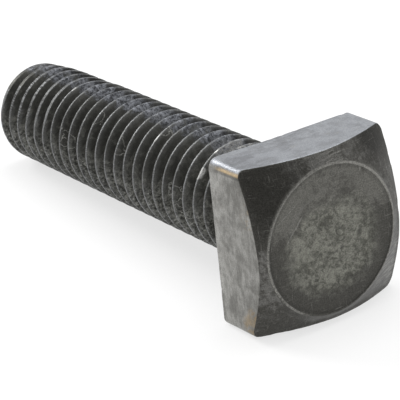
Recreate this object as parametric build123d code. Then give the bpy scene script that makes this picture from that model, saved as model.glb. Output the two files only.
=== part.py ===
from build123d import *
from math import atan, ceil, cos, degrees, floor, pi, radians, sin, tan
import os

# A forged square head bolt, 1/2 in - 13 UNC x 2 in, threaded up to a short neck.
# It is drawn on its own axis: +Z points out of the crown of the head, the bearing face
# is at Z = 0 and the shank runs down to Z = -shank_length. At the end it is laid down
# on one flat of the head and on a crest near the point, as it lies on a bench.

# Head, in millimetres and degrees
across_flats = 18.42
head_height = 7.60          # bearing face to the flat of the crown
crown_inset = 1.16          # flats of the square to the round crown
chamfer_angle = 30.25       # slope of the forged cone round the crown
corner_radius = 0.80        # upright corners of the square
front_edge_break = 0.20     # edges where the cone meets the flats
back_edge_break = 0.25      # worn edges round the bearing face
rim_width = 0.30            # fine raised line that the dies left round the crown
rim_height = 0.07
land_width = 2.05           # smooth ring between the rim and the dish
dish_depth = 0.12           # shallow middle of the crown, which did not fill
dish_slope_width = 0.70

# Shank and thread
shank_length = 50.80
major_diameter = 12.42
pitch = 25.4 / 13
flank_angle = 30.0          # each flank, from the plane across the axis
crest_width = pitch / 8
thread_depth = 0.6134 * pitch
crest_offset = 0.28         # a crest passes the resting side this far past Z = 0
runs_per_turn = 32          # straight runs that stand for each turn, to stay light
soft_turns = 6              # turns at the point whose crests did not fill
soft_crest_drop = 0.20
point_chamfer = 0.81        # how far the point is turned down
point_angle = 45.0
neck_length = 3.20          # plain length under the head
neck_flare = 0.45           # cone from the neck to the bearing face
runout_length = 2.00        # where the crests fade into the neck

# Worked out from the sizes above
flat = across_flats / 2
crown_radius = flat - crown_inset
crest_radius = major_diameter / 2
root_radius = crest_radius - thread_depth
neck_radius = crest_radius - 0.32476 * pitch    # the blank is rolled at pitch diameter
flank_width = thread_depth * tan(radians(flank_angle))
root_width = pitch - crest_width - 2 * flank_width
point_length = point_chamfer / tan(radians(point_angle))
clear = 1.0                 # how far a cutting shape stands clear of the metal


def revolved(*curves):
    """Turn a closed outline about the axis, drawn with x as radius and y as height."""
    outline = Plane.XZ * make_face(Curve() + list(curves))
    return revolve(outline, Axis.Z)


def point_turn():
    """The turn that the point cuts off. Turns towards the point are negative."""
    return -ceil(shank_length / pitch)

def thread_corners(turn):
    """The thread's outline over one pitch on the resting side, as (radius, height)
    corners."""
    drop = soft_crest_drop if turn < point_turn() + soft_turns else 0.0
    half_crest = crest_width / 2 + drop * tan(radians(flank_angle))
    half_tooth = crest_width / 2 + flank_width
    middle = turn * pitch - crest_offset
    return [
        (crest_radius - drop, middle - half_crest),
        (crest_radius - drop, middle + half_crest),
        (root_radius, middle + half_tooth),
        (root_radius, middle + half_tooth + root_width),
    ]


def helix(start, end):
    """One turn between two (radius, height) places, from the resting side at -Y."""
    points = []
    for run in range(runs_per_turn + 1):
        share = run / runs_per_turn
        radius = start[0] + share * (end[0] - start[0])
        height = start[1] + share * (end[1] - start[1])
        angle = 2 * pi * share
        points.append((radius * sin(angle), -radius * cos(angle), height))
    return points

def thread_turn(turn):
    """The helices that bound one turn: both sides of its crest, then of its root."""
    return [helix(a, b) for a, b in zip(thread_corners(turn), thread_corners(turn + 1))]

def strip(lower, upper):
    """A strip of crest, flank or root between two helices, in flat triangles."""
    faces = []
    for a, b, c, d in zip(lower, lower[1:], upper[1:], upper):
        faces += [Face(Wire.make_polygon([a, b, c])), Face(Wire.make_polygon([a, c, d]))]
    return faces

def end_cap(turn):
    """Close the thread where a turn starts, by a fan from the axis out to its crest and
    by the flat step that is left when the fan has gone round once."""
    step = [(0, -r, z) for r, z in thread_corners(turn) + thread_corners(turn + 1)[:1]]
    centre = (0, 0, turn * pitch)
    rim = thread_turn(turn)[0]
    fan = [Face(Wire.make_polygon([centre, a, b])) for a, b in zip(rim, rim[1:])]
    return fan + [Face(Wire.make_polygon([centre] + step))]

def thread_bar():
    """A bar threaded past both ends of the shank."""
    turns = range(point_turn() - 1, 2)
    faces = end_cap(turns.start) + end_cap(turns.stop)
    for turn in turns:
        helices = thread_turn(turn) + thread_turn(turn + 1)[:1]
        for lower, upper in zip(helices, helices[1:]):
            faces += strip(lower, upper)
    return Solid(Shell(Face.sew_faces(faces)[0]))

def shank():
    """The thread, cut off at a chamfered point and fading into a plain neck."""
    blank = crest_radius + clear
    fade = runout_length / (crest_radius - neck_radius)
    trim_top = -neck_length + (neck_radius - root_radius) * fade
    trim = revolved(Polyline(
        (0, -shank_length),
        (crest_radius - point_chamfer, -shank_length),
        (blank, point_length + clear / tan(radians(point_angle)) - shank_length),
        (blank, -neck_length - runout_length - clear * fade),
        (root_radius, trim_top),
        (0, trim_top),
        close=True,
    ))
    root_end = -neck_length - pitch / 4
    core = revolved(Polyline(
        (0, neck_flare),
        (neck_radius + neck_flare, neck_flare),
        (neck_radius + neck_flare, 0),
        (neck_radius, -neck_flare),
        (neck_radius, root_end),
        (root_radius, root_end - runout_length),
        (0, root_end - runout_length),
        close=True,
    ))
    return (thread_bar() & trim) + core


def head():
    """A square block with rounded corners under a forged cone. The crown has a fine
    raised line round it, a smooth land and a shallow dish in the middle."""
    square = RectangleRounded(across_flats, across_flats, corner_radius)
    block = extrude(square, head_height + rim_height + clear)
    reach = across_flats
    fall = (reach - crown_radius) * tan(radians(chamfer_angle))
    rim_inside = crown_radius - rim_width
    dish_radius = rim_inside - land_width
    crown = revolved(Polyline(
        (0, -clear),
        (reach, -clear),
        (reach, head_height - fall),
        (crown_radius, head_height),
        (crown_radius - rim_width / 2, head_height + rim_height),
        (rim_inside, head_height),
        (dish_radius, head_height),
        (dish_radius - dish_slope_width, head_height - dish_depth),
        (0, head_height - dish_depth),
        close=True,
    ))
    block = block & crown
    cone = block.faces().filter_by(GeomType.CONE).sort_by(SortBy.AREA)[-1]
    front_edges = [edge for edge in cone.edges() if edge.geom_type != GeomType.CIRCLE]
    block = chamfer(front_edges, front_edge_break)
    back_edges = block.faces().sort_by(Axis.Z)[0].edges()
    return chamfer(back_edges, back_edge_break)


def rest_tilt():
    """How far the axis dips towards the point when the bolt lies on the back edge of
    its head and on the last whole crest."""
    crest_edge = crest_offset + crest_width / 2 + soft_crest_drop * tan(radians(flank_angle))
    whole = floor((shank_length - point_length - crest_edge) / pitch)
    drop = flat - (crest_radius - soft_crest_drop)
    return degrees(atan(drop / (crest_edge + whole * pitch + back_edge_break)))

tilt = rest_tilt()
laid_down = Plane(
    origin=(0, 0, 0),
    x_dir=(0, 1, 0),
    z_dir=(cos(radians(tilt)), 0, sin(radians(tilt))),
)
bolt = laid_down * (head() + shank())
os.makedirs("parts", exist_ok=True)
export_step(bolt, "parts/bolt.step")
print(f"bolt: axis dips {tilt:.3f} degrees towards the point")
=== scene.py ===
from math import atan, cos, floor, pi, radians, sin, tan

import bmesh
import bpy
import numpy as np
from mathutils import Matrix, Vector, noise


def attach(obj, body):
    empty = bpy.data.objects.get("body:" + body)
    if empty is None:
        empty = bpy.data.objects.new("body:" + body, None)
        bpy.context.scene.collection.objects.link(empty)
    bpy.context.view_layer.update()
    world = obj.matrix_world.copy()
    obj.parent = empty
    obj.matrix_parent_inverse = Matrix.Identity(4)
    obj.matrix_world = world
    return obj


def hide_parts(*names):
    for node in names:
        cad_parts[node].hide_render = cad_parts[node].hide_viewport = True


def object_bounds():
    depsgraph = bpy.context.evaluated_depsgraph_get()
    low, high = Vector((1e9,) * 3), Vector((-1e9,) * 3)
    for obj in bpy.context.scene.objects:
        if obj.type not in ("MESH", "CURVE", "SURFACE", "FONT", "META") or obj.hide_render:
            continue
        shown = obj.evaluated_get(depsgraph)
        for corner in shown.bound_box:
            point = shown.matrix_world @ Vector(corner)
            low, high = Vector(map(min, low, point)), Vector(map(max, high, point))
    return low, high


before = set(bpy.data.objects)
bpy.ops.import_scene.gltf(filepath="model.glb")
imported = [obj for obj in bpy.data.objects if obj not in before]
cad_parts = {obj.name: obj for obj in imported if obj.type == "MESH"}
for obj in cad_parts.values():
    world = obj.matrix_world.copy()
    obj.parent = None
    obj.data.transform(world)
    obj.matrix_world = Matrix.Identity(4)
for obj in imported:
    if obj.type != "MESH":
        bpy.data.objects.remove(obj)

cadBox = [list(corner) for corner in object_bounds()]
print("frame loaded")

# The bolt is built on its own axis in millimetres: Z out of the crown, 0 at the bearing
# face, the point at -shank. It is laid down like the CAD part when its mesh is made.
boltSizes = {
    "flat": 9.21,             # axis to each flat of the head
    "cornerRadius": 0.80,
    "headHeight": 7.60,
    "coneStart": 8.05,        # radius the cone would meet the crown at
    "coneAngle": 30.25,
    "frontRound": 0.18,       # edge between cone and flats
    "backRound": 0.25,
    "crownRadius": 8.23,      # the crown was struck a little wide and off the axis
    "crownOff": (-0.224, -0.213),
    "crownPull": (5.0, 6.5),  # heights over which the cone comes to follow it
    "rimWidth": 0.30,         # raised line round the crown
    "rimHeight": 0.07,
    "landWidth": 2.05,
    "dishDepth": 0.12,
    "dishSlope": 0.70,
    # as forged: how each flat differs from true
    "flatZone": (8.6, 9.2),   # distance from the axis over which a fault comes in
    "sideSwell": 0.13,        # the upright flats swell below
    "sideBand": (3.0, -3.0),  # between these heights of a flat
    "leftLean": 2.5,          # the left one falls in to the front, in swells
    "leftBack": 1.25,         # and swells above at the back, in swells
    "leftFade": 1.3,          # which ends at the head's height through this
    "topSwell": 0.06,         # the top flat swells to the front
    "topSpan": (9.0, 4.0),    # from its right end
    "cornerSwell": 0.15,      # and at its left corner by the neck
    "cornerSpan": (-2.0, -8.0),
    "frontBand": (0.1, 0.6),  # shares of the head's height where back turns to front
    "draft": 0.34,            # the resting one spreads to the front
    "draftLeft": 0.3,         # with this share of it at its left end
    "draftSpan": (-8.0, 8.0),
    # thread, as on the CAD part
    "shank": 50.80,
    "crest": 6.21,            # radius over the thread
    "pitch": 25.4 / 13,
    "threadDepth": 0.6134,    # in pitches
    "blankDepth": 0.32476,    # from the crest to the rolled blank, in pitches
    "crestRound": 0.04,
    "rootRound": 0.12,
    "crestOffset": 0.28,      # a crest passes the resting side this far past 0
    "crestShift": 0.12,       # the threads as cut, against that
    "neckLength": 3.20,
    "neckFlare": 0.45,
    "runout": 2.00,
    # point, with its worn and unfilled crests
    "softEnd": -19.46,        # turn where the unfilled crests end
    "softFade": (-0.06, 0.02),
    "softDrop": 0.20,
    "filledSide": 210.0,      # where round the axis they did fill, in degrees
    "tipDrop": 0.50,          # more is gone on the upper side of the point
    "tipSpared": 0.09,        # but less where the crests are low already
    "tipTurns": (-26.2, -22.6),
    "tipSide": 58.0,
    "point": 5.40,
    "pointDrop": 0.28,
    # relief of the steel's surface, in its mesh
    "dishRough": 0.060,
    "dishPits": 0.6,          # in dish roughs
    "forgedWave": 0.020,
    "flatWave": 0.018,
    "edgeNick": 0.085,
    "edgeRare": 0.12,         # how high its cloud stands where a nick starts
    "edgeZone": (0.15, 0.75), # from an edge, where its nicks fade
    "crestNick": 0.040,
    "crestRare": 0.15,
    "wearSeed": 17.3,
    "wearClouds": {           # scale, octaves, and a shift that keeps each apart
        "forged": (0.45, 4, 0),
        "dish": (1.1, 5, 3),
        "pits": (2.4, 3, 8),
        "flats": (0.35, 3, 5),
        "edges": (0.9, 4, 9),
        "crests": (1.3, 4, 12),
    },
    # mesh
    "around": 208,            # divisions round the axis
    "cornerGather": 0.70,     # how strongly they gather at the head's corners
    "dishStep": 0.22,         # between rings in the dish
    "crestRows": (-0.03, 0.035),              # by a crest's edge
    "flankRows": (0.4, 0.8),  # shares of the way down its flank
    "footRow": 0.02,          # and past the flank's foot
    "endRows": (0.985, 0.80, 0.55, 0.30),     # shares of the end face's radius
    "crestPaint": (-0.05, 0.075),             # where a crest's colour ends, by its edge
    "softPaint": 0.08,        # further out where it did not fill
    "crestSlack": 0.05,       # a point this far under a low crest still counts as on it
    "weld": 0.0005,
    "sharpAngle": 38,
}

flat = boltSizes["flat"]
pitch = boltSizes["pitch"]
crest = boltSizes["crest"]
shank = boltSizes["shank"]
headHeight = boltSizes["headHeight"]
softDrop = boltSizes["softDrop"]
neckEnd = -boltSizes["neckLength"]
coneFall = tan(radians(boltSizes["coneAngle"]))
slope = tan(radians(30))                      # of a thread flank
depth = boltSizes["threadDepth"] * pitch
root = crest - depth
neck = crest - boltSizes["blankDepth"] * pitch
halfCrest = pitch / 16
halfTooth = halfCrest + depth * slope
lead = boltSizes["crestOffset"] - boltSizes["crestShift"]


def restTilt():                               # how far the axis dips to the point
    edge = boltSizes["crestOffset"] + halfCrest + softDrop * slope
    whole = floor((shank - crest + boltSizes["point"] - edge) / pitch)
    drop = flat - crest + softDrop
    return atan(drop / (edge + whole * pitch + boltSizes["backRound"]))


tilt = restTilt()
layDown = Matrix((
    (0, -sin(tilt), cos(tilt)),
    (1, 0, 0),
    (0, cos(tilt), sin(tilt)),
)).to_4x4()


def smooth(value, low, high):
    share = np.clip((value - low) / (high - low), 0, 1)
    return share * share * (3 - 2 * share)


def softMin(a, b, width):
    gap = np.clip(0.5 + 0.5 * (b - a) / width, 0, 1)
    return b * (1 - gap) + a * gap - width * gap * (1 - gap)


def softMax(a, b, width):
    return -softMin(-a, -b, width)


# Columns go round from the resting side, closer together at the head's corners
even = np.arange(boltSizes["around"]) / boltSizes["around"] * 2 * pi - pi / 2
angles = even + boltSizes["cornerGather"] / 4 * np.sin(4 * even)
turnShare = (angles + pi / 2) / (2 * pi)
one = np.ones_like(angles)


def squareRadius():                           # rounded square outline of the head
    corner = boltSizes["cornerRadius"]
    inner = flat - corner
    fold = np.abs((angles + pi / 4) % (pi / 2) - pi / 4)
    along = inner * (np.cos(fold) + np.sin(fold))
    arc = along + np.sqrt(np.maximum(along ** 2 - 2 * inner ** 2 + corner ** 2, 0))
    return np.where(flat * np.tan(fold) > inner, arc, flat / np.cos(fold))


square = squareRadius()
coneEdge = headHeight - (square - boltSizes["coneStart"]) * coneFall
upperSide = np.maximum(np.cos(angles - radians(boltSizes["tipSide"])), 0)     # most worn at the point
filled = smooth(np.cos(angles - radians(boltSizes["filledSide"])), 0.5, 0.9)  # 1 where crests did fill


def softness(turn):                           # 1 where the crests at the point are low
    start, end = (boltSizes["softEnd"] + fade for fade in boltSizes["softFade"])
    return (1 - smooth(turn, start, end)) * (1 - filled)


def crestHalf(turn):                          # half the width of a crest, wider where it is low
    return halfCrest + softDrop * softness(turn) * slope


def tipWear(turn):
    gone = boltSizes["tipDrop"] * (1 - smooth(turn, *boltSizes["tipTurns"]))
    return (gone - boltSizes["tipSpared"] * softness(turn)) * upperSide


def crestPlace(height):                       # distance to the nearest crest, and its turn
    along = (height + lead) / pitch - turnShare
    whole = np.floor(along + 0.5)
    return np.abs(along - whole) * pitch, whole + turnShare


def threadRadius(height):
    away, turn = crestPlace(height)
    top = crest - softDrop * softness(turn) - tipWear(turn)
    flank = crest - (away - halfCrest) / slope
    tooth = softMax(softMin(flank, top, boltSizes["crestRound"]), root, boltSizes["rootRound"])
    runout = neck + (neckEnd - height) * (crest - neck) / boltSizes["runout"]
    point = boltSizes["point"] - boltSizes["pointDrop"] * upperSide + height + shank
    coreEnd = neckEnd - pitch / 4
    core = np.interp(height, (coreEnd - boltSizes["runout"], coreEnd), (root, neck))
    return np.maximum(np.minimum(np.minimum(tooth, runout), np.maximum(point, 0)), np.minimum(core, point))


def between(count, first, last, gather=1.0):  # steps from first to last, without the two ends
    return [first + (last - first) * share for share in np.linspace(0, 1, count + 2)[1:-1] ** gather]


def bend(start, corner, end, steps):          # rows round an edge, as (radius, height)
    rows = []
    for step in range(steps + 1):
        t = step / steps
        near, middle, far = (1 - t) ** 2, 2 * t * (1 - t), t * t
        rows.append(tuple(near * a + middle * b + far * c for a, b, c in zip(start, corner, end)))
    return rows


def crownRows():                              # as (radius, height, zone), from the centre out
    rim = boltSizes["crownRadius"] - boltSizes["rimWidth"]
    dish = rim - boltSizes["landWidth"]
    steep = dish - boltSizes["dishSlope"]
    rows = []
    inner = np.arange(0.3, steep, boltSizes["dishStep"])
    for radius in np.concatenate((inner, np.linspace(steep, dish + 0.1, 6))):
        sunk = boltSizes["dishDepth"] * (1 - smooth(radius, steep, dish))
        rows.append((radius * one, (headHeight - sunk) * one, "dish"))
    for radius in np.linspace(dish + 0.3, rim - 0.05, 9):
        rows.append((radius * one, headHeight * one, "land"))
    for share in (0, 0.22, 0.5, 0.78, 1):     # across the raised line
        lift = boltSizes["rimHeight"] * sin(pi * share) ** 0.7 if 0 < share < 1 else 0
        rows.append(((rim + share * boltSizes["rimWidth"]) * one, (headHeight + lift) * one, "rim"))
    return rows


def flatRows():                               # the cone, over its edge, down the flats and under
    cut, back = boltSizes["frontRound"], boltSizes["backRound"]
    inside = square - cut
    coneEnd = coneEdge + cut * coneFall
    radii = between(13, boltSizes["crownRadius"], inside)
    rows = [(radius, height, "cone") for radius, height in zip(radii, between(13, headHeight, coneEnd))]
    over = bend((inside, coneEnd), (square, coneEdge), (square, coneEdge - cut), 5)
    rows += [(radius, height, "cone" if step < 3 else "side") for step, (radius, height) in enumerate(over)]
    rows += [(square, height, "side") for height in between(16, coneEdge - cut, back)]
    under = bend((square, back * one), (square, 0 * one), (square - back, 0 * one), 3)
    return rows + [(radius, height, "back") for radius, height in under]


def neckRows():                               # the bearing face, then the plain neck
    flare = boltSizes["neckFlare"]
    outer = neck + flare
    radii = between(9, square - boltSizes["backRound"], outer, 0.8)
    rows = [(radius, 0 * one, "bearing") for radius in radii]
    for radius, height in bend((outer, 0), (neck, 0), (neck, -flare), 4):
        rows.append((radius * one, height * one, "neck"))
    for height in np.linspace(-flare, neckEnd, 9)[1:]:
        rows.append((neck * one, height * one, "neck"))
    return rows


rowsPerTurn = 12                              # a crest, five steps down, the root, five steps up


def toothSteps(half):                         # from a crest's edge down to the root
    edge = [half + past for past in boltSizes["crestRows"]]
    flank = [half + (halfTooth - half) * share for share in boltSizes["flankRows"]]
    return edge + flank + [(halfTooth + boltSizes["footRow"]) * one]


def threadRows():                             # these rows follow the helix
    rows = []
    lastTurn = -int(shank / pitch) - 2
    for whole in range(-1, lastTurn - 1, -1):
        turn = whole + turnShare
        down = toothSteps(crestHalf(turn))
        up = [pitch - step for step in reversed(toothSteps(crestHalf(turn - 1)))]
        for offset in [0 * one] + down + [pitch / 2 * one] + up:
            height = np.clip(turn * pitch - lead - offset, -shank, neckEnd)
            rows.append((threadRadius(height), height, "thread"))
    return rows


def asForged(x, y, height):                   # moves the head's points off the true shape
    toFront = height / headHeight
    onSide, onTop, onLow = (smooth(out, *boltSizes["flatZone"]) for out in (np.abs(x), y, -y))
    below = smooth(y, *boltSizes["sideBand"])
    lean = np.where(x < 0, 1 - boltSizes["leftLean"] * toFront, 1)
    fade = np.clip(1 - boltSizes["leftFade"] * toFront, 0, 1)
    above = np.where(x < 0, boltSizes["leftBack"] * fade, 0)
    moveX = boltSizes["sideSwell"] * np.sign(x) * onSide * (below * lean + (1 - below) * above)
    front = smooth(toFront, *boltSizes["frontBand"])
    swell = boltSizes["topSwell"] * front * smooth(x, *boltSizes["topSpan"])
    swell = swell + boltSizes["cornerSwell"] * (1 - front) * smooth(x, *boltSizes["cornerSpan"])
    left, right = boltSizes["draftSpan"]
    least = boltSizes["draftLeft"]
    along = np.clip((x - left) / (right - left), 0, 1)
    draft = boltSizes["draft"] * toFront * (least + (1 - least) * along)
    moveY = swell * onTop - draft * onLow
    crownShare = np.clip((flat - np.hypot(x, y)) / (flat - boltSizes["crownRadius"]), 0, 1)
    crownShare = crownShare * smooth(height, *boltSizes["crownPull"])
    offX, offY = boltSizes["crownOff"]
    return x + moveX + crownShare * offX, y + moveY + crownShare * offY


def rowFaces(count, first, last):             # quads between rows; the spiral ones step down a turn
    around = len(angles)
    faces = []
    for row in range(count - 1):
        spiral = first <= row < last
        for column in range(around):
            after = (column + 1) % around
            upper, lower = row * around, (row + 1) * around
            a, b, c, d = upper + column, lower + column, lower + after, upper + after
            if spiral and after == 0:
                c = max(row + 1 - rowsPerTurn, first) * around
                d = max(row - rowsPerTurn, first) * around
            faces.append((a, b, c, d))
    return faces


def boltMesh():
    head = crownRows() + flatRows() + neckRows()
    rows = head + threadRows()
    lastHead, lastThread = len(head) - 1, len(rows) - 1
    end = rows[-1][0]
    rows += [(end * share, -shank * one, "end") for share in boltSizes["endRows"]]
    places = []
    for number, (radius, height, zone) in enumerate(rows):
        x, y = radius * np.cos(angles), radius * np.sin(angles)
        if number < len(head):
            x, y = asForged(x, y, height)
        places.append(np.stack((x, y, height), axis=1))
    crownCentre, endCentre = (*boltSizes["crownOff"], rows[0][1][0]), (0, 0, -shank)
    points = np.concatenate(places + [np.array((crownCentre, endCentre))])
    faces = rowFaces(len(rows), lastHead, lastThread)
    around = len(angles)
    bottom = (len(rows) - 1) * around
    for column in range(around):
        after = (column + 1) % around
        faces.append((len(points) - 2, column, after))
        faces.append((len(points) - 1, bottom + after, bottom + column))
    mesh = bpy.data.meshes.new("squareHeadBolt")
    mesh.from_pydata([tuple(point) for point in points], [], faces)
    zones = [zone for radius, height, zone in rows for column in range(around)] + ["dish", "end"]
    return mesh, points, np.array(zones)


def edgeNearness(points):                     # 1 on the head's outer edges and corners
    rows = len(points) // len(angles)
    outer, front = np.tile(square, rows), np.tile(coneEdge, rows)
    radius = np.hypot(points[: len(outer), 0], points[: len(outer), 1])
    height = points[: len(outer), 2]
    away = np.minimum(np.hypot(outer - radius, front - height), np.hypot(outer - radius, height))
    return np.append(1 - smooth(away, *boltSizes["edgeZone"]), (0, 0))


def threadMasks(points, zones):               # height up a tooth, and 1 on the crests
    tooth, onCrest = np.zeros(len(points)), np.zeros(len(points))
    radius = np.hypot(points[:, 0], points[:, 1])
    inThread = (points[:, 2] < neckEnd + 0.01) & (zones != "end")
    tooth[inThread] = ((radius - root) / depth)[inThread]
    away, turn = crestPlace(points[:-2, 2].reshape(-1, len(angles)))
    half = crestHalf(turn)
    inside, outside = boltSizes["crestPaint"]
    outside = outside + boltSizes["softPaint"] * softness(turn)
    near = (1 - smooth(away, half + inside, half + outside)).reshape(-1)
    full = (inThread & (radius > crest - softDrop - boltSizes["crestSlack"]))[:-2]
    onCrest[:-2][full] = near[full]
    return tooth, onCrest


zoneNames = ("dish", "land", "rim", "cone", "side", "back", "bearing", "end")


def paint(mesh, name, values):
    layer = mesh.attributes.new(name, "FLOAT", "POINT")
    layer.data.foreach_set("value", np.asarray(values, dtype=np.float32))


def readMask(mesh, name):
    values = np.empty(len(mesh.vertices), dtype=np.float32)
    mesh.attributes[name].data.foreach_get("value", values)
    return values.tolist()


def cloud(place, name):
    scale, octaves, shift = boltSizes["wearClouds"][name]
    seed = boltSizes["wearSeed"] + shift
    return noise.fractal(Vector(place) * scale + Vector((seed, 2 * seed, -seed)), 1.0, 2.0, octaves)


def relief(place, dish, cone, side, edge, onCrest):    # millimetres out of the surface
    pits = boltSizes["dishPits"] * max(0, cloud(place, "pits"))
    lift = boltSizes["forgedWave"] * (cone + dish) * cloud(place, "forged")
    lift += boltSizes["dishRough"] * dish * (cloud(place, "dish") - pits)
    lift += boltSizes["flatWave"] * side * cloud(place, "flats")
    lift -= boltSizes["edgeNick"] * edge * max(0, cloud(place, "edges") - boltSizes["edgeRare"])
    lift -= boltSizes["crestNick"] * onCrest * max(0, cloud(place, "crests") - boltSizes["crestRare"])
    return lift


def weld(mesh):                               # the rows that the neck and the point cut short
    shape = bmesh.new()
    shape.from_mesh(mesh)
    bmesh.ops.remove_doubles(shape, verts=shape.verts, dist=boltSizes["weld"])
    shape.normal_update()
    shape.to_mesh(mesh)
    shape.free()


def makeBolt():
    mesh, points, zones = boltMesh()
    tooth, onCrest = threadMasks(points, zones)
    paint(mesh, "tooth", tooth)
    paint(mesh, "crest", onCrest)
    for name in zoneNames:
        paint(mesh, name, zones == name)
    paint(mesh, "edge", edgeNearness(points))
    for axis, name in enumerate(("ownX", "ownY", "ownZ")):
        paint(mesh, name, points[:, axis])
    weld(mesh)
    masks = [readMask(mesh, name) for name in ("dish", "cone", "side", "edge", "crest")]
    normals = [vertex.normal.copy() for vertex in mesh.vertices]
    for vertex, normal, *mask in zip(mesh.vertices, normals, *masks):
        vertex.co += normal * relief(vertex.co, *mask)
    mesh.transform(Matrix.Scale(0.001, 4) @ layDown)
    mesh.shade_smooth()
    mesh.set_sharp_from_angle(angle=radians(boltSizes["sharpAngle"]))
    mesh.update()
    piece = bpy.data.objects.new("squareHeadBolt", mesh)
    bpy.context.scene.collection.objects.link(piece)
    return piece


class Wire:                                   # a node's output, so shader maths reads as sums
    def __init__(self, graph, socket):
        self.graph, self.socket = graph, socket

    def __add__(self, other):
        return self.graph.sum("ADD", self, other)

    def __radd__(self, other):
        return self.graph.sum("ADD", other, self)

    def __sub__(self, other):
        return self.graph.sum("SUBTRACT", self, other)

    def __rsub__(self, other):
        return self.graph.sum("SUBTRACT", other, self)

    def __mul__(self, other):
        return self.graph.sum("MULTIPLY", self, other)

    def __rmul__(self, other):
        return self.graph.sum("MULTIPLY", other, self)

    def __truediv__(self, other):
        return self.graph.sum("DIVIDE", self, other)

    def __rtruediv__(self, other):
        return self.graph.sum("DIVIDE", other, self)

    def __pow__(self, other):
        return self.graph.sum("POWER", self, other)

    def __rpow__(self, other):
        return self.graph.sum("POWER", other, self)


class Graph:                                  # the nodes of one material or world
    def __init__(self, owner):
        owner.use_nodes = True
        self.tree = owner.node_tree
        self.tree.nodes.clear()

    def node(self, kind, settings=None, sockets=None, out=0):
        made = self.tree.nodes.new(kind)
        for name, value in (settings or {}).items():
            setattr(made, name, value)
        for name, value in (sockets or {}).items():
            if isinstance(value, Wire):
                self.tree.links.new(value.socket, made.inputs[name])
            else:
                made.inputs[name].default_value = value
        return Wire(self, made.outputs[out]) if made.outputs else None

    def sum(self, operation, first, second):
        return self.node("ShaderNodeMath", {"operation": operation}, {0: first, 1: second})

    def painted(self, name):
        return self.node("ShaderNodeAttribute", {"attribute_name": name}, out=2)

    def step(self, value, low, high, to=(0.0, 1.0)):   # a smooth step from low to high
        sockets = {"Value": value, "From Min": low, "From Max": high, "To Min": to[0], "To Max": to[1]}
        return self.node("ShaderNodeMapRange", {"interpolation_type": "SMOOTHSTEP"}, sockets)

    def limit(self, value, to=(0.0, 1.0)):    # the same from 0 to 1, for what is added up
        return self.step(value, 0.0, 1.0, to)

    def clouds(self, place, scale, detail, rough, warp):
        sockets = {"Vector": place, "Scale": scale, "Detail": detail, "Roughness": rough, "Distortion": warp}
        return self.node("ShaderNodeTexNoise", None, sockets)

    def stretched(self, place, sizes, turn=(0.0, 0.0, 0.0)):
        sockets = {"Vector": place, "Scale": sizes, "Rotation": turn}
        return self.node("ShaderNodeMapping", {"vector_type": "POINT"}, sockets)

    def blend(self, share, first, second):    # colours
        return self.node("ShaderNodeMix", {"data_type": "RGBA"}, {0: share, 6: first, 7: second}, out=2)

    def distance(self, first, second):
        return self.node("ShaderNodeVectorMath", {"operation": "DISTANCE"}, {0: first, 1: second}, out=1)

    def spot(self, place, centre, inner, outer, most=1.0):    # strongest near a place, 0 past outer
        return self.step(self.distance(place, centre), inner, outer, (most, 0.0))

    def ring(self, place, centre, radius, width=0.05):        # a thin line round a place
        away = self.distance(place, centre) - radius
        return self.step(away * away, width * width * 0.3, width * width, (1.0, 0.0))

    def scratch(self, x, y, start, end, width):               # a line from start to end on the crown
        wayX, wayY = end[0] - start[0], end[1] - start[1]
        length = (wayX ** 2 + wayY ** 2) ** 0.5
        wayX, wayY = wayX / length, wayY / length
        across = (x - start[0]) * wayY - (y - start[1]) * wayX
        along = (x - start[0]) * wayX + (y - start[1]) * wayY
        inside = self.step(along, 0.0, 0.4) * self.step(along, length, length - 0.4)
        return self.step(across * across, width * width * 0.2, width * width, (1.0, 0.0)) * inside


def rgb(*levels):                             # from screen values of 11 to 255
    return tuple(((level / 255 + 0.055) / 1.055) ** 2.4 for level in levels) + (1.0,)


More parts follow.
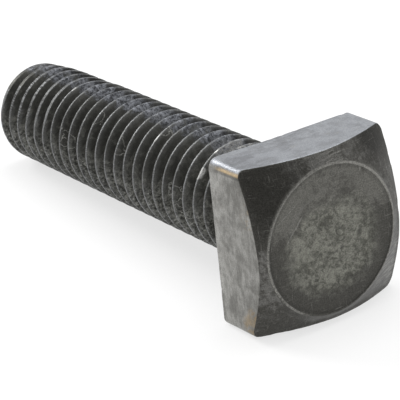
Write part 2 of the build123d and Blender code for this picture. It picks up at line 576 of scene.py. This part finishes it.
steelLook = {
    "cone": rgb(108, 107, 104),
    "coneDark": rgb(74, 73, 69),
    "land": rgb(76, 75, 71),
    "landPale": rgb(108, 107, 102),
    "dish": rgb(147, 147, 138),
    "dishDark": rgb(99, 99, 92),
    "line": rgb(142, 141, 136),
    "top": rgb(152, 155, 160),
    "topDark": rgb(120, 122, 126),
    "side": rgb(171, 170, 166),
    "sideDark": rgb(114, 113, 109),
    # tint and painted warm reflection for the strip on the left flat's upper corner
    "tan": rgb(214, 188, 146),
    "rust": rgb(150, 124, 78),
    "flank": rgb(74, 74, 70),
    "flankPale": rgb(120, 120, 114),
    # the band along the top of the thread: dust and a painted sheen of the light from above
    "dustAndSheen": rgb(156, 159, 166),
    "dustAndSheenDark": rgb(58, 60, 64),
    "crest": rgb(144, 145, 146),
    "paintedHighlight": rgb(225, 225, 222),
    "lint": rgb(162, 162, 157),
    "black": rgb(16, 16, 15),
    "clouds": {               # scale, detail, roughness, warp, then how it is stretched and turned
        "broad": (0.32, 5.0, 0.60, 0.0),
        "drifts": (0.45, 5.0, 0.70, 0.8),
        "patch": (0.65, 5.0, 0.60, 0.4),
        "rusty": (0.80, 6.0, 0.60, 0.3),
        "swirl": (0.85, 5.0, 0.58, 1.4),
        "mottle": (1.3, 6.0, 0.62, 0.3),
        "pitted": (1.9, 6.0, 0.72, 0.6),
        "fine": (3.0, 5.0, 0.65, 0.0),
        "grain": (7.0, 4.0, 0.70, 0.0),
        "streaks": (1.0, 4.0, 0.60, 0.2, (0.5, 0.5, 1.5)),
        "thinStreaks": (1.0, 4.0, 0.65, 0.2, (0.8, 0.8, 3.4)),
        "flecks": (2.0, 4.0, 0.60, 0.0, (0.8, 0.8, 2.4)),
        "wisps": (1.6, 5.0, 0.72, 0.5, (1.5, 1.5, 0.8)),
        "eachCrest": (1.0, 2.0, 0.55, 0.0, (0.12, 0.12, 1.0)),
        "chatter": (1.0, 3.0, 0.60, 0.0, (5.0, 5.0, 0.8)),
        "strokes": (1.0, 4.0, 0.70, 0.0, (0.5, 6.0, 1.0), (0.0, 0.0, 0.12)),
        "brushed": (1.0, 4.0, 0.65, 0.3, (0.5, 6.5, 1.0), (0.0, 0.0, -0.75)),
        "hairs": (1.0, 3.0, 0.60, 0.5, (7.0, 0.55, 1.0), (0.2, 0.1, 0.6)),
        "hairsToo": (1.0, 3.0, 0.60, 0.5, (0.6, 7.5, 1.0), (0.1, -0.2, 0.35)),
    },
    "spots": {                # place, whole within, gone past, strength
        "coneLeft": [((-9.0, -2.0, 6.0), 1.5, 5.2)],
        "coneTop": [((-0.5, 9.2, 7.0), 0.5, 3.8)],
        "coneDull": [((-6.5, -9.0, 6.5), 0.5, 4.5, 0.5), ((-8.6, 8.6, 6.0), 1.0, 6.0, 0.8),
                     ((8.0, 8.4, 6.0), 1.2, 3.4, 0.9), ((-8.9, 2.6, 6.4), 0.6, 2.8, 0.7)],
        "coneBlack": [((7.0, 8.6, 6.4), 0.8, 3.6, 0.52)],
        "topRub": [((1.0, 8.7, 7.2), 0.6, 2.4)],
        "cornerRub": [((8.6, -6.2, 5.8), 1.5, 6.0)],
        "landPale": [((-5.6, 4.4, 7.6), 0.8, 2.8, 0.6), ((6.0, 4.2, 7.6), 0.5, 2.4, 0.5)],
        "landDull": [((2.2, 4.6, 7.6), 0.5, 1.8, 0.3)],
        "dishPale": [((-4.9, 0.2, 7.6), 0.6, 2.6, 0.5)],
        "dishPits": [((0.6, -0.2, 7.6), 2.0, 5.0, 0.75)],
        "lineHighlightFaint": [((-0.8, -8.4, 7.6), 2.0, 5.5, 0.75)],
        "lineHighlightStrong": [((5.8, 5.4, 7.6), 3.0, 7.0, 0.35)],
        "sideDull": [((-9.2, 7.2, 5.0), 0.5, 2.4, 0.3)],
        "topDull": [((-7.8, 9.2, 3.4), 0.6, 3.8, 0.48), ((-1.0, 9.2, 0.8), 1.0, 4.6, 0.28)],
        "rustLow": [((-9.2, -7.9, 4.7), 0.3, 1.9, 1.1)],
        "rustBeside": [((-9.2, -6.6, 5.1), 0.2, 1.2, 0.9)],
        "rustHigh": [((-9.2, 4.5, 6.2), 0.4, 2.4)],
        "chattered": [((-4.2, 4.0, -45.5), 2.0, 5.5)],
        # painted highlights: glints on the crests, and rubbed patches on the flanks painted bright
        "glints": [((-1.99, 5.88, -38.2), 0.1, 0.6, 0.8), ((-3.44, 5.16, -18.5), 0.1, 0.9, 0.6),
                   ((-2.29, 5.76, -8.85), 0.1, 0.6, 0.8)],
        "rubbed": [((-4.45, 4.25, -8.60), 0.15, 0.60), ((-4.85, 3.75, -8.78), 0.15, 0.70)],
    },
    "dents": [                # start, end and width on the crown
        ((-7.0, 3.3), (-4.2, 4.9), 0.07), ((3.9, 7.0), (4.1, 5.7), 0.14), ((-5.9, 0.9), (-3.4, 3.5), 0.12),
    ],
    "lintRings": [            # place and radius of each curl in the thread
        ((-4.4, 3.7, -35.5), 0.8), ((-4.8, 2.7, -33.5), 1.1), ((-4.9, 2.2, -11.6), 1.3),
        ((-4.1, 4.3, -22.9), 1.0), ((-3.0, 6.0, -28.9), 0.9), ((-4.9, -0.4, -8.9), 0.7),
        ((-4.8, 0.4, -10.4), 0.5), ((-1.2, 7.2, -17.0), 0.8), ((-5.0, 0.2, -30.0), 0.7),
    ],
    "lintWarp": (2.2, 2.2, 2.2),
    "lineRadius": 8.13,       # the raised line's middle, from the crown's centre
    # the plain steel's, and what each mark or place adds to it
    "metallic": {"steel": 0.85, "rubbed": -0.5, "lint": -0.45},
    "roughness": {"steel": 0.40, "mottle": 0.14, "dish": 0.16, "thread": 0.06, "crest": 0.12, "edge": 0.08},
    "relief": {               # millimetres of bump
        "grain": 0.008, "fine": 0.014, "crownMottle": 0.02, "crownFine": 0.01,
        "dishFine": 0.09, "dishMottle": 0.12, "dishGrain": 0.03, "pits": -0.05,
        "streaks": 0.006, "scratches": -0.004, "dents": -0.02,
    },
}


class Steel:                                  # the places, masks and clouds that its finishes share
    def __init__(self, graph):
        self.graph = graph
        self.x, self.y, self.z = (graph.painted(name) for name in ("ownX", "ownY", "ownZ"))
        self.place = graph.node("ShaderNodeCombineXYZ", None, {"X": self.x, "Y": self.y, "Z": self.z})
        self.side, self.back, self.bearing = (graph.painted(name) for name in ("side", "back", "bearing"))
        self.tooth, self.crest, self.edge = (graph.painted(name) for name in ("tooth", "crest", "edge"))
        self.crown = graph.painted("dish") + graph.painted("land") + graph.painted("rim")
        self.notEnd = 1 - graph.painted("end")
        self.inShank = graph.step(self.z, -0.1, -0.5)
        self.up = self.y / (self.x * self.x + self.y * self.y) ** 0.5
        self.low = graph.step(self.up, 0.30, -0.15) * self.notEnd
        for name, (scale, detail, rough, warp, *shape) in steelLook["clouds"].items():
            place = graph.stretched(self.place, *shape) if shape else self.place
            setattr(self, name, graph.clouds(place, scale, detail, rough, warp))      # steel.mottle, ...

    def near(self, name):                     # the spots of one name, added up
        spots = [self.graph.spot(self.place, *spot) for spot in steelLook["spots"][name]]
        return sum(spots[1:], spots[0])


def coneFinish(g, steel):                     # dark oxide, paler to the left and at the top, darker in spots and black at the upper right
    look = steelLook
    pale = g.step(steel.patch, 0.38, 0.62, (0.0, 0.45))
    pale = pale + g.step(steel.mottle, 0.50, 0.62, (0.0, 0.25)) + g.step(steel.fine, 0.45, 0.62, (0.0, 0.30))
    pale = pale + steel.near("coneLeft") * g.step(steel.mottle, 0.38, 0.58, (-0.3, 0.65))
    pale = pale + steel.near("coneTop") * g.step(steel.fine, 0.35, 0.60, (0.15, 0.75))
    pale = pale - steel.near("coneDull")
    colour = g.blend(g.step(pale, 0.0, 1.1), look["coneDark"], look["cone"])
    colour = g.blend(steel.near("coneBlack"), colour, look["black"])
    # fine strokes at the top, and brushed ones at the lower right corner
    corner = steel.near("cornerRub")
    colour = g.blend(corner * g.step(steel.brushed, 0.40, 0.60, (0.55, 0.0)), colour, look["black"])
    rubbed = steel.near("topRub") * g.step(steel.strokes, 0.46, 0.60)
    rubbed = rubbed + corner * g.step(steel.brushed, 0.44, 0.62, (0.0, 0.9))
    return g.blend(g.limit(rubbed, (0.0, 0.75)), colour, look["line"])


def crownMarks(g, steel):                     # where the dish is rough, its pits, and the dents
    ragged = steel.patch - 0.5
    oval = g.distance(g.stretched(steel.place, (0.175, 0.217, 0.0)), (0.03, -0.22, 0.0))
    rough = g.step(1 - oval + 0.35 * (steel.mottle - 0.5) + 0.6 * ragged, -0.26, 0.24)
    rough = rough * g.step(steel.x + 2.4 * ragged, 6.8, 4.2)
    pits = g.step(steel.pitted, 0.57, 0.64) * steel.near("dishPits")
    dents = [g.scratch(steel.x, steel.y, *dent) for dent in steelLook["dents"]]
    return rough, pits, sum(dents[1:], dents[0])


def crownFinish(g, steel, rough, pits, dents):     # smooth dark land round a rough dull dish
    look = steelLook
    upper = g.step(steel.y + 3.0 * (steel.mottle - 0.5), 0.2, 3.2)
    upper = upper * g.step(steel.mottle, 0.3, 0.6, (0.4, 1.0)) + g.step(steel.fine, 0.5, 0.7, (0.0, 0.3))
    upper = upper + steel.near("landPale") - steel.near("landDull")
    colour = g.blend(g.step(upper, 0.0, 1.2, (0.0, 1.1)), look["land"], look["landPale"])
    dull = g.step(0.22 * steel.fine + 0.30 * steel.mottle + 0.48 * steel.swirl, 0.38, 0.60)
    dish = g.blend(g.limit(dull + steel.near("dishPale")), look["dishDark"], look["dish"])
    colour = g.blend(rough, colour, dish)
    colour = g.blend(rough * pits, colour, look["cone"])
    colour = g.blend(dents * g.step(steel.fine, 0.35, 0.6, (0.2, 0.8)), colour, look["line"])
    # the raised line, painted pale as a highlight on it, stronger at the upper right and fainter below, with
    # a painted shade in a band just inside it
    offX, offY = boltSizes["crownOff"]
    fromCentre = ((steel.x - offX) ** 2.0 + (steel.y - offY) ** 2.0) ** 0.5
    away = fromCentre + 0.16 * (steel.patch - 0.5) - look["lineRadius"]
    away = g.node("ShaderNodeMath", {"operation": "ABSOLUTE"}, {0: away})
    line = g.step(away, 0.06, 0.19, (1.0, 0.0)) * g.step(steel.fine, 0.30, 0.60, (0.25, 0.85))
    line = line * (1 - steel.near("lineHighlightFaint")) * (1 + steel.near("lineHighlightStrong"))
    # painted shade just inside the raised line
    inner = g.step(fromCentre, 7.45, 7.80) * g.step(fromCentre, 8.04, 7.94)
    colour = g.blend(inner * 0.22, colour, look["black"])
    return g.blend(g.limit(line), colour, look["line"])


def rustMarks(g, steel):                      # three spots on the left flat, and a faint scatter
    low = steel.near("rustLow") * g.step(steel.mottle, 0.38, 0.56)
    beside = steel.near("rustBeside") * g.step(steel.fine, 0.38, 0.56)
    high = steel.near("rustHigh") * g.step(steel.fine, 0.5, 0.62, (0.0, 0.6))
    return g.limit(low + beside + high + g.step(steel.rusty, 0.64, 0.74, (0.0, 0.3)), (0.0, 0.5))


def flatFinish(g, steel):                     # rubbed grey, with streaks across and dark flecks
    look = steelLook
    x, y, z = steel.x, steel.y, steel.z
    toFront = g.step(z, 0.4, 2.2, (0.0, 0.24)) + steel.near("sideDull")
    cloudy = 0.30 * steel.streaks + 0.28 * steel.thinStreaks + 0.12 * steel.mottle + 0.30 * steel.patch
    darker = g.limit(g.step(cloudy, 0.37, 0.62, (0.72, 0.08)) + toFront)
    colour = g.blend(darker, look["side"], look["sideDark"])
    flecks = g.step(steel.flecks, 0.62, 0.72, (0.0, 0.5)) * g.step(steel.broad, 0.40, 0.56)
    colour = g.blend(flecks, colour, look["coneDark"])
    # the tan strip under the left flat's upper edge, partly a tint and partly a painted warm reflection on
    # the rounded corner, and a painted shade below it
    tanAndSheen = g.step(x, -8.80, -9.0) * g.step(y, 8.47, 8.59) * g.step(y, 9.10, 8.94) * g.step(z, 0.8, 2.6)
    shade = g.step(x, -9.0, -9.1) * g.step(y, 8.15, 8.35) * g.step(y, 8.68, 8.56)
    shade = shade * g.step(z, 0.5, 2.6, (0.0, 0.5))
    colour = g.blend(tanAndSheen * g.step(steel.fine, 0.3, 0.6, (0.45, 0.85)), colour, look["tan"])
    colour = g.blend(shade, colour, look["coneDark"])
    colour = g.blend(rustMarks(g, steel), colour, look["rust"])
    topTone = g.step(0.4 * steel.streaks + 0.6 * steel.patch, 0.40, 0.60, (0.55, 0.0)) + steel.near("topDull")
    top = g.blend(g.limit(topTone), look["top"], look["topDark"])
    return g.blend(g.step(y, 8.75, 9.0), colour, top)


def bearingFinish(g, steel):                  # plain, under the head
    darker = g.step(0.6 * steel.patch + 0.4 * steel.mottle, 0.36, 0.66)
    return g.blend(darker, steelLook["coneDark"], steelLook["sideDark"])


def flankFinish(g, steel):                    # dark, with dust in the grooves; the lower side painted paler as light from the floor below, with dark specks
    look = steelLook
    low, up = steel.low, steel.up
    patch, mottle, fine, grain = steel.patch, steel.mottle, steel.fine, steel.grain
    dust = g.step(mottle, 0.42, 0.64, (0.0, 0.45)) + (1 - steel.tooth) * g.step(fine, 0.4, 0.6, (0.0, 0.35))
    dust = dust + g.step(steel.drifts, 0.56, 0.68, (0.0, 0.5)) + g.step(grain, 0.50, 0.64, (0.0, 0.35)) - 0.05
    dust = dust + g.step(patch, 0.50, 0.60) * g.step(mottle, 0.42, 0.58, (0.0, 0.7)) * g.step(up, 0.8, 0.4)
    dust = dust + g.step(steel.z, -17.0, -7.0) * g.step(mottle, 0.35, 0.6, (0.0, 0.4))
    # the lower side: painted paler and mottled as light from the floor below
    dust = dust + low * g.step(patch, 0.38, 0.58, (0.3, 0.9)) * g.step(fine, 0.38, 0.58, (0.3, 1.3))
    dust = dust + low * g.step(grain, 0.46, 0.56, (-0.5, 0.4))
    colour = g.blend(g.step(dust, 0.0, 1.5), look["flank"], look["flankPale"])
    # more pale specks on the lower side, part of its painted floor light
    specks = g.step(grain * (1 - 0.6 * low) + 0.6 * fine * low, 0.52, 0.58)
    colour = g.blend((0.25 + 0.75 * low) * specks, colour, look["lint"])
    colour = g.blend(low * g.step(fine, 0.47, 0.39, (0.0, 0.6)), colour, look["black"])
    middle = g.step(steel.z, -46.0, -40.0) * g.step(steel.z, -22.0, -28.0, (0.0, 0.14))
    return g.blend(middle, colour, look["black"])


def dustAndSheenFinish(g, steel):                     # a band along the top, partly dust and partly a painted sheen of the light from above, denser by the head
    look = steelLook
    up, mottle, fine = steel.up, steel.mottle, steel.fine
    dustAndSheen = g.step(up + 0.10 * (mottle - 0.5) + 0.05 * (fine - 0.5), 0.94, 0.985)
    dustAndSheen = dustAndSheen * g.step(steel.patch, 0.32, 0.5, (0.4, 1.0)) * steel.notEnd * (0.4 + 0.6 * steel.tooth)
    nearHead = g.step(steel.z, -12.0, -7.0) * g.step(up, 0.80, 0.93) * (1 - g.step(steel.x, 0.6, 2.0))
    wispy = g.step(0.55 * steel.wisps + 0.45 * steel.grain, 0.44, 0.56)
    colour = g.blend(wispy, look["dustAndSheenDark"], look["dustAndSheen"])
    colour = g.blend(nearHead * g.step(fine, 0.38, 0.56, (0.1, 0.8)), colour, look["side"])
    return g.limit(dustAndSheen + 0.8 * nearHead), colour


def crestFinish(g, steel, dustAndSheen, colour):      # worn crests, and the point's edge
    look = steelLook
    worn = steel.crest * g.step(steel.fine, 0.30, 0.62, (0.40, 1.0))
    worn = worn * g.step(steel.eachCrest, 0.36, 0.60, (0.70, 1.10))
    worn = worn * (1 - 0.8 * dustAndSheen) * (1 + 0.1 * steel.low)
    pointEdge = g.step(steel.z, -50.40, -50.62) * steel.notEnd * g.step(steel.mottle, 0.35, 0.55, (0.3, 0.8))
    colour = g.blend(worn + pointEdge, colour, look["crest"])
    chatter = g.step(steel.chatter, 0.50, 0.56) * steel.near("chattered")
    return g.blend(chatter * steel.crest * 0.8, colour, look["black"])


def threadFinish(g, steel):
    dustAndSheen, dustAndSheenColour = dustAndSheenFinish(g, steel)
    colour = g.blend(dustAndSheen, flankFinish(g, steel), dustAndSheenColour)
    # painted shade in the grooves beyond the dusty sheen, towards the upper edge
    grooveShade = g.step(steel.x + 1.2 * (steel.mottle - 0.5), 0.7, 1.5) * g.step(steel.up, 0.3, 0.6)
    grooveShade = grooveShade * g.step(steel.tooth, 0.99, 0.80) * steel.notEnd
    colour = g.blend(grooveShade * 0.75, colour, steelLook["black"])
    return crestFinish(g, steel, dustAndSheen, colour)


def lintMask(g, steel):                       # thin curls, bent by a cloud
    sockets = {"Vector": steel.place, "Scale": 0.7, "Detail": 3.0}
    warp = g.node("ShaderNodeTexNoise", None, sockets, out="Color")
    sockets = {0: warp, 1: steelLook["lintWarp"], 2: steel.place}
    wavy = g.node("ShaderNodeVectorMath", {"operation": "MULTIPLY_ADD"}, sockets)
    rings = [g.ring(wavy, *ring) for ring in steelLook["lintRings"]]
    lint = sum(rings[1:], rings[0]) * g.step(steel.mottle, 0.38, 0.50)
    return g.limit(lint, (0.0, 0.9)) * steel.inShank


def steelRoughness(steel, dish):              # duller in the dish and where the steel is worn
    rough = steelLook["roughness"]
    roughness = rough["steel"] + rough["dish"] * dish + rough["mottle"] * (steel.mottle - 0.5)
    roughness = roughness + rough["thread"] * steel.inShank + rough["crest"] * steel.crest
    return roughness + rough["edge"] * steel.edge


def steelRelief(steel, dish, pits, dents, scratches):      # finer than the mesh can carry
    size = steelLook["relief"]
    mottle, fine, grain = steel.mottle, steel.fine, steel.grain
    height = size["grain"] * grain + size["fine"] * fine
    height = height + steel.crown * (size["crownMottle"] * mottle + size["crownFine"] * fine)
    rough = size["dishMottle"] * mottle + size["dishFine"] * fine + size["dishGrain"] * grain
    height = height + dish * (rough + size["pits"] * pits) + size["dents"] * dents
    return height + size["streaks"] * steel.side * steel.streaks + size["scratches"] * scratches


def steelMaterial():
    look = steelLook
    material = bpy.data.materials.new("darkSteel")
    g = Graph(material)
    steel = Steel(g)
    rough, pits, dents = crownMarks(g, steel)
    colour = g.blend(steel.crown, coneFinish(g, steel), crownFinish(g, steel, rough, pits, dents))
    colour = g.blend(steel.side + steel.back, colour, flatFinish(g, steel))
    colour = g.blend(steel.bearing, colour, bearingFinish(g, steel))
    colour = g.blend(steel.inShank, colour, threadFinish(g, steel))
    # painted highlights: glints on the crests and a rubbed patch on the flanks painted bright; then lint,
    # hair scratches on the head, and black specks over all
    rubbed = g.limit(steel.near("rubbed")) * g.step(steel.grain, 0.40, 0.52, (0.15, 1.0))
    lint = lintMask(g, steel)
    scratches = g.step(steel.hairs, 0.60, 0.70) + g.step(steel.hairsToo, 0.60, 0.70)
    colour = g.blend(g.limit(steel.near("glints") * steel.crest + rubbed), colour, look["paintedHighlight"])
    colour = g.blend(lint, colour, look["lint"])
    colour = g.blend(g.limit(scratches, (0.0, 0.30)) * (1 - steel.inShank), colour, look["line"])
    speckShare = 1 - 0.45 * steel.side + steel.inShank * (0.35 + 0.4 * steel.low * (1 - steel.crest))
    colour = g.blend(g.step(steel.grain, 0.38, 0.62, (0.0, 0.42)) * speckShare, colour, look["black"])

    dish = rough * steel.crown
    height = steelRelief(steel, dish, pits, dents, scratches)
    bump = g.node("ShaderNodeBump", None, {"Strength": 1.0, "Distance": 0.001, "Height": height})
    metal = look["metallic"]
    surface = g.node("ShaderNodeBsdfPrincipled", None, {
        "Base Color": colour, "Roughness": steelRoughness(steel, dish), "Normal": bump,
        "Metallic": metal["steel"] + metal["rubbed"] * rubbed + metal["lint"] * lint,
    })
    g.node("ShaderNodeOutputMaterial", None, {"Surface": surface})
    return material


bolt = makeBolt()
print("bolt shaped:", len(bolt.data.polygons), "faces")
bolt.data.materials.append(steelMaterial())
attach(bolt, "root")
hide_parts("bolt")
print("bolt finished")


# The set: a pale floor, a soft white studio and the camera
studio = {
    "floorSize": 3.0,
    "floor": (0.9, 0.9, 0.9, 1.0),
    "floorWhite": 0.68,       # share of plain white, which keeps the shadow light
    "white": (1.0, 1.0, 1.0, 1.0),
    "ambient": 1.0,           # from above and behind
    "front": 0.22,            # the darker room in front of the bolt
    "frontWay": (0.90, -0.35, 0.22),
    "frontReach": (0.45, 0.95),
    "lamps": (                # name, place, aim, size, watts
        ("keyTop", (-0.68, -0.24, 0.56), (-0.02, 0, 0), 0.34, 3.6),
        ("overhead", (-0.10, 0.25, 0.80), (-0.02, 0, 0), 0.60, 3.0),
    ),
    "place": (0.15301, -0.11311, 0.09316),    # of the camera
    "aim": (-0.01788, 0.00102, -0.00475),
    "roll": -3.81,
    "lens": 182.2,
    "clip": (0.005, 20.0),
}


def aimed(place, aim, roll=0.0):
    way = (Vector(aim) - Vector(place)).to_track_quat("-Z", "Y")
    return Matrix.Translation(place) @ way.to_matrix().to_4x4() @ Matrix.Rotation(radians(roll), 4, "Z")


def makeFloor():
    shape = bmesh.new()
    bmesh.ops.create_grid(shape, x_segments=4, y_segments=4, size=studio["floorSize"])
    bmesh.ops.translate(shape, verts=shape.verts, vec=(0, 0, cadBox[0][2]))
    mesh = bpy.data.meshes.new("floor")
    shape.to_mesh(mesh)
    shape.free()
    floorPiece = bpy.data.objects.new("floor", mesh)
    bpy.context.scene.collection.objects.link(floorPiece)
    material = bpy.data.materials.new("paleFloor")
    g = Graph(material)
    paper = g.node("ShaderNodeBsdfDiffuse", None, {"Color": studio["floor"]})
    white = g.node("ShaderNodeEmission", None, {"Color": studio["white"], "Strength": 1.0})
    rays = ("Is Camera Ray", "Is Glossy Ray", "Is Transmission Ray")
    seen = [g.node("ShaderNodeLightPath", out=ray) for ray in rays]
    share = studio["floorWhite"] * g.limit(sum(seen[1:], seen[0]))
    surface = g.node("ShaderNodeMixShader", None, {0: share, 1: paper, 2: white})
    g.node("ShaderNodeOutputMaterial", None, {"Surface": surface})
    mesh.materials.append(material)


def makeWorld():
    world = bpy.data.worlds.new("studio")
    bpy.context.scene.world = world
    g = Graph(world)
    way = g.node("ShaderNodeTexCoord")
    dot = {"operation": "DOT_PRODUCT"}
    ahead = g.node("ShaderNodeVectorMath", dot, {0: way, 1: studio["frontWay"]}, out=1)
    strength = g.step(ahead, *studio["frontReach"], (studio["ambient"], studio["front"]))
    ambient = g.node("ShaderNodeBackground", None, {"Color": studio["white"], "Strength": strength})
    g.node("ShaderNodeOutputWorld", None, {"Surface": ambient})


def makeLamps():
    for name, place, aim, size, watts in studio["lamps"]:
        data = bpy.data.lights.new(name, "AREA")
        data.shape = "SQUARE"
        data.size = size
        data.energy = watts
        lamp = bpy.data.objects.new(name, data)
        lamp.matrix_world = aimed(place, aim)
        bpy.context.scene.collection.objects.link(lamp)


def makeCamera():
    data = bpy.data.cameras.new("camera")
    data.lens = studio["lens"]
    data.sensor_width = 36.0
    data.clip_start, data.clip_end = studio["clip"]
    camera = bpy.data.objects.new("camera", data)
    camera.matrix_world = aimed(studio["place"], studio["aim"], studio["roll"])
    bpy.context.scene.collection.objects.link(camera)
    bpy.context.scene.camera = camera


makeFloor()
makeWorld()
makeLamps()
makeCamera()
bpy.context.scene.view_settings.view_transform = "Standard"
print("set made")
